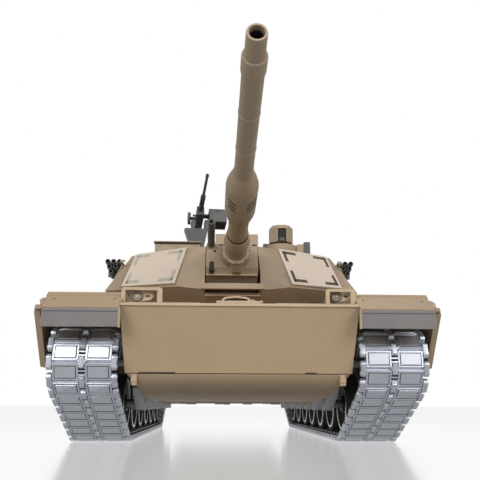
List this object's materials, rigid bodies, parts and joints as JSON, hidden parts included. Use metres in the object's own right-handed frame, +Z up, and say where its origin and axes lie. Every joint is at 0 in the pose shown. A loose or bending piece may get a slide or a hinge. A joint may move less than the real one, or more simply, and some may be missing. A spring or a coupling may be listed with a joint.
{
  "type": "rc tank",
  "caption": "Radio-controlled scale model of a modern main battle tank with metal tracks, sprung road wheels, a turning turret and an elevating, recoiling gun.",
  "frame": {"origin": "centre of the footprint on the ground, under the middle of the overall length", "axes": "the tank faces -Y, +X is its own left side, +Z is up"},
  "size_m": [0.2334, 0.6225, 0.2163],
  "materials": {
    "hull_paint": "satin desert tan paint",
    "turret_paint": "satin desert tan paint",
    "lamp_paint": "pale tan paint",
    "flap_rubber": "matt grey rubber",
    "track_metal": "cast silver grey metal",
    "arm_metal": "dull grey cast metal",
    "wheel_black": "black plastic",
    "gun_grey": "dark grey satin",
    "inner_black": "black plastic",
    "board_green": "green circuit board",
    "cell_blue": "blue shrink wrap"
  },
  "bodies": {
    "hull": {"lower_hull": "hull_paint", "upper_hull": "hull_paint", "battery_pack": "cell_blue", "control_board": "board_green", "drive_unit": "inner_black", "skirt_right": "hull_paint", "mud_flap_right": "flap_rubber", "headlight_right": "lamp_paint", "track_right": "track_metal", "skirt_left": "hull_paint", "mud_flap_left": "flap_rubber", "headlight_left": "lamp_paint", "track_left": "track_metal"},
    "driver_hatch": {"driver_hatch": "hull_paint"},
    "engine_door": {"engine_door": "hull_paint"},
    "power_switch": {"power_switch": "inner_black"},
    "arm_right_1": {"swing_arm_right_1": "arm_metal"},
    "wheel_right_1": {"road_wheel_right_1": "wheel_black"},
    "arm_right_2": {"swing_arm_right_2": "arm_metal"},
    "wheel_right_2": {"road_wheel_right_2": "wheel_black"},
    "arm_right_3": {"swing_arm_right_3": "arm_metal"},
    "wheel_right_3": {"road_wheel_right_3": "wheel_black"},
    "arm_right_4": {"swing_arm_right_4": "arm_metal"},
    "wheel_right_4": {"road_wheel_right_4": "wheel_black"},
    "arm_right_5": {"swing_arm_right_5": "arm_metal"},
    "wheel_right_5": {"road_wheel_right_5": "wheel_black"},
    "arm_right_6": {"swing_arm_right_6": "arm_metal"},
    "wheel_right_6": {"road_wheel_right_6": "wheel_black"},
    "arm_right_7": {"swing_arm_right_7": "arm_metal"},
    "wheel_right_7": {"road_wheel_right_7": "wheel_black"},
    "idler_right": {"idler_right": "wheel_black"},
    "sprocket_right": {"sprocket_right": "track_metal"},
    "arm_left_1": {"swing_arm_left_1": "arm_metal"},
    "wheel_left_1": {"road_wheel_left_1": "wheel_black"},
    "arm_left_2": {"swing_arm_left_2": "arm_metal"},
    "wheel_left_2": {"road_wheel_left_2": "wheel_black"},
    "arm_left_3": {"swing_arm_left_3": "arm_metal"},
    "wheel_left_3": {"road_wheel_left_3": "wheel_black"},
    "arm_left_4": {"swing_arm_left_4": "arm_metal"},
    "wheel_left_4": {"road_wheel_left_4": "wheel_black"},
    "arm_left_5": {"swing_arm_left_5": "arm_metal"},
    "wheel_left_5": {"road_wheel_left_5": "wheel_black"},
    "arm_left_6": {"swing_arm_left_6": "arm_metal"},
    "wheel_left_6": {"road_wheel_left_6": "wheel_black"},
    "arm_left_7": {"swing_arm_left_7": "arm_metal"},
    "wheel_left_7": {"road_wheel_left_7": "wheel_black"},
    "idler_left": {"idler_left": "wheel_black"},
    "sprocket_left": {"sprocket_left": "track_metal"},
    "turret": {"turret_shell": "turret_paint", "bustle_rack": "turret_paint", "sight_box": "turret_paint", "smoke_launcher_right": "gun_grey", "smoke_launcher_left": "gun_grey"},
    "viewer": {"viewer_head": "turret_paint"},
    "commander_hatch": {"commander_hatch": "turret_paint"},
    "loader_hatch": {"loader_hatch": "turret_paint"},
    "cradle": {"gun_cradle": "gun_grey"},
    "machine_gun": {"machine_gun": "gun_grey"},
    "mantlet": {"mantlet": "turret_paint"},
    "barrel": {"barrel": "turret_paint"}
  },
  "joints": [
    {"name": "suspension_right_1", "type": "hinge", "parent": "hull", "child": "arm_right_1", "pos_m": [-0.0634, -0.103, 0.036], "axis": [1, 0, 0], "range_deg": [0, 16], "stiffness_Nm_per_rad": 0.15, "springref_deg": -20.05},
    {"name": "wheel_spin_right_1", "type": "hinge", "parent": "arm_right_1", "child": "wheel_right_1", "pos_m": [-0.089, -0.081, 0.025], "axis": [1, 0, 0], "continuous": true},
    {"name": "suspension_right_2", "type": "hinge", "parent": "hull", "child": "arm_right_2", "pos_m": [-0.0634, -0.05617, 0.036], "axis": [1, 0, 0], "range_deg": [0, 16], "stiffness_Nm_per_rad": 0.15, "springref_deg": -20.05},
    {"name": "wheel_spin_right_2", "type": "hinge", "parent": "arm_right_2", "child": "wheel_right_2", "pos_m": [-0.089, -0.03417, 0.025], "axis": [1, 0, 0], "continuous": true},
    {"name": "suspension_right_3", "type": "hinge", "parent": "hull", "child": "arm_right_3", "pos_m": [-0.0634, -0.00933, 0.036], "axis": [1, 0, 0], "range_deg": [0, 16], "stiffness_Nm_per_rad": 0.15, "springref_deg": -20.05},
    {"name": "wheel_spin_right_3", "type": "hinge", "parent": "arm_right_3", "child": "wheel_right_3", "pos_m": [-0.089, 0.01267, 0.025], "axis": [1, 0, 0], "continuous": true},
    {"name": "suspension_right_4", "type": "hinge", "parent": "hull", "child": "arm_right_4", "pos_m": [-0.0634, 0.0375, 0.036], "axis": [1, 0, 0], "range_deg": [0, 16], "stiffness_Nm_per_rad": 0.15, "springref_deg": -20.05},
    {"name": "wheel_spin_right_4", "type": "hinge", "parent": "arm_right_4", "child": "wheel_right_4", "pos_m": [-0.089, 0.0595, 0.025], "axis": [1, 0, 0], "continuous": true},
    {"name": "suspension_right_5", "type": "hinge", "parent": "hull", "child": "arm_right_5", "pos_m": [-0.0634, 0.08433, 0.036], "axis": [1, 0, 0], "range_deg": [0, 16], "stiffness_Nm_per_rad": 0.15, "springref_deg": -20.05},
    {"name": "wheel_spin_right_5", "type": "hinge", "parent": "arm_right_5", "child": "wheel_right_5", "pos_m": [-0.089, 0.10633, 0.025], "axis": [1, 0, 0], "continuous": true},
    {"name": "suspension_right_6", "type": "hinge", "parent": "hull", "child": "arm_right_6", "pos_m": [-0.0634, 0.13117, 0.036], "axis": [1, 0, 0], "range_deg": [0, 16], "stiffness_Nm_per_rad": 0.15, "springref_deg": -20.05},
    {"name": "wheel_spin_right_6", "type": "hinge", "parent": "arm_right_6", "child": "wheel_right_6", "pos_m": [-0.089, 0.15317, 0.025], "axis": [1, 0, 0], "continuous": true},
    {"name": "suspension_right_7", "type": "hinge", "parent": "hull", "child": "arm_right_7", "pos_m": [-0.0634, 0.178, 0.036], "axis": [1, 0, 0], "range_deg": [0, 16], "stiffness_Nm_per_rad": 0.15, "springref_deg": -20.05},
    {"name": "wheel_spin_right_7", "type": "hinge", "parent": "arm_right_7", "child": "wheel_right_7", "pos_m": [-0.089, 0.2, 0.025], "axis": [1, 0, 0], "continuous": true},
    {"name": "idler_spin_right", "type": "hinge", "parent": "hull", "child": "idler_right", "pos_m": [-0.089, -0.1465, 0.0485], "axis": [1, 0, 0], "continuous": true},
    {"name": "sprocket_spin_right", "type": "hinge", "parent": "hull", "child": "sprocket_right", "pos_m": [-0.089, 0.262, 0.047], "axis": [1, 0, 0], "continuous": true},
    {"name": "suspension_left_1", "type": "hinge", "parent": "hull", "child": "arm_left_1", "pos_m": [0.0634, -0.103, 0.036], "axis": [1, 0, 0], "range_deg": [0, 16], "stiffness_Nm_per_rad": 0.15, "springref_deg": -20.05},
    {"name": "wheel_spin_left_1", "type": "hinge", "parent": "arm_left_1", "child": "wheel_left_1", "pos_m": [0.089, -0.081, 0.025], "axis": [1, 0, 0], "continuous": true},
    {"name": "suspension_left_2", "type": "hinge", "parent": "hull", "child": "arm_left_2", "pos_m": [0.0634, -0.05617, 0.036], "axis": [1, 0, 0], "range_deg": [0, 16], "stiffness_Nm_per_rad": 0.15, "springref_deg": -20.05},
    {"name": "wheel_spin_left_2", "type": "hinge", "parent": "arm_left_2", "child": "wheel_left_2", "pos_m": [0.089, -0.03417, 0.025], "axis": [1, 0, 0], "continuous": true},
    {"name": "suspension_left_3", "type": "hinge", "parent": "hull", "child": "arm_left_3", "pos_m": [0.0634, -0.00933, 0.036], "axis": [1, 0, 0], "range_deg": [0, 16], "stiffness_Nm_per_rad": 0.15, "springref_deg": -20.05},
    {"name": "wheel_spin_left_3", "type": "hinge", "parent": "arm_left_3", "child": "wheel_left_3", "pos_m": [0.089, 0.01267, 0.025], "axis": [1, 0, 0], "continuous": true},
    {"name": "suspension_left_4", "type": "hinge", "parent": "hull", "child": "arm_left_4", "pos_m": [0.0634, 0.0375, 0.036], "axis": [1, 0, 0], "range_deg": [0, 16], "stiffness_Nm_per_rad": 0.15, "springref_deg": -20.05},
    {"name": "wheel_spin_left_4", "type": "hinge", "parent": "arm_left_4", "child": "wheel_left_4", "pos_m": [0.089, 0.0595, 0.025], "axis": [1, 0, 0], "continuous": true},
    {"name": "suspension_left_5", "type": "hinge", "parent": "hull", "child": "arm_left_5", "pos_m": [0.0634, 0.08433, 0.036], "axis": [1, 0, 0], "range_deg": [0, 16], "stiffness_Nm_per_rad": 0.15, "springref_deg": -20.05},
    {"name": "wheel_spin_left_5", "type": "hinge", "parent": "arm_left_5", "child": "wheel_left_5", "pos_m": [0.089, 0.10633, 0.025], "axis": [1, 0, 0], "continuous": true},
    {"name": "suspension_left_6", "type": "hinge", "parent": "hull", "child": "arm_left_6", "pos_m": [0.0634, 0.13117, 0.036], "axis": [1, 0, 0], "range_deg": [0, 16], "stiffness_Nm_per_rad": 0.15, "springref_deg": -20.05},
    {"name": "wheel_spin_left_6", "type": "hinge", "parent": "arm_left_6", "child": "wheel_left_6", "pos_m": [0.089, 0.15317, 0.025], "axis": [1, 0, 0], "continuous": true},
    {"name": "suspension_left_7", "type": "hinge", "parent": "hull", "child": "arm_left_7", "pos_m": [0.0634, 0.178, 0.036], "axis": [1, 0, 0], "range_deg": [0, 16], "stiffness_Nm_per_rad": 0.15, "springref_deg": -20.05},
    {"name": "wheel_spin_left_7", "type": "hinge", "parent": "arm_left_7", "child": "wheel_left_7", "pos_m": [0.089, 0.2, 0.025], "axis": [1, 0, 0], "continuous": true},
    {"name": "idler_spin_left", "type": "hinge", "parent": "hull", "child": "idler_left", "pos_m": [0.089, -0.1465, 0.0485], "axis": [1, 0, 0], "continuous": true},
    {"name": "sprocket_spin_left", "type": "hinge", "parent": "hull", "child": "sprocket_left", "pos_m": [0.089, 0.262, 0.047], "axis": [1, 0, 0], "continuous": true},
    {"name": "driver_hatch_hinge", "type": "hinge", "parent": "hull", "child": "driver_hatch", "pos_m": [0.0142, -0.139, 0.0882], "axis": [0, 1, 0], "range_deg": [0, 75]},
    {"name": "engine_door_hinge", "type": "hinge", "parent": "hull", "child": "engine_door", "pos_m": [0, 0.3005, 0.0903], "axis": [-1, 0, 0], "range_deg": [0, 100]},
    {"name": "power_switch_slide", "type": "slide", "parent": "hull", "child": "power_switch", "axis": [1, 0, 0], "range_m": [-0.002, 0.002]},
    {"name": "turret_turn", "type": "hinge", "parent": "hull", "child": "turret", "pos_m": [0, 0.053, 0.09], "axis": [0, 0, 1], "continuous": true},
    {"name": "gun_elevation", "type": "hinge", "parent": "turret", "child": "mantlet", "pos_m": [0.0008, -0.01, 0.1254], "axis": [-1, 0, 0], "range_deg": [-9, 12]},
    {"name": "barrel_recoil", "type": "slide", "parent": "mantlet", "child": "barrel", "axis": [0, 0.9895, -0.1444], "range_m": [0, 0.012], "stiffness_N_per_m": 60, "springref_m": -0.01},
    {"name": "viewer_turn", "type": "hinge", "parent": "turret", "child": "viewer", "pos_m": [0.0435, 0.02, 0.168], "axis": [0, 0, 1], "continuous": true},
    {"name": "cradle_turn", "type": "hinge", "parent": "turret", "child": "cradle", "pos_m": [-0.038, 0.074, 0.16], "axis": [0, 0, 1], "continuous": true},
    {"name": "machine_gun_elevation", "type": "hinge", "parent": "cradle", "child": "machine_gun", "pos_m": [-0.0295, 0.058, 0.193], "axis": [-0.9932, -0.1167, 0], "range_deg": [-20, 15]},
    {"name": "commander_hatch_hinge", "type": "hinge", "parent": "cradle", "child": "commander_hatch", "pos_m": [-0.038, 0.0896, 0.1604], "axis": [-1, 0, 0], "range_deg": [0, 45]},
    {"name": "loader_hatch_hinge", "type": "hinge", "parent": "turret", "child": "loader_hatch", "pos_m": [0.038, 0.0906, 0.1552], "axis": [-1, 0, 0], "range_deg": [0, 85]}
  ]
}
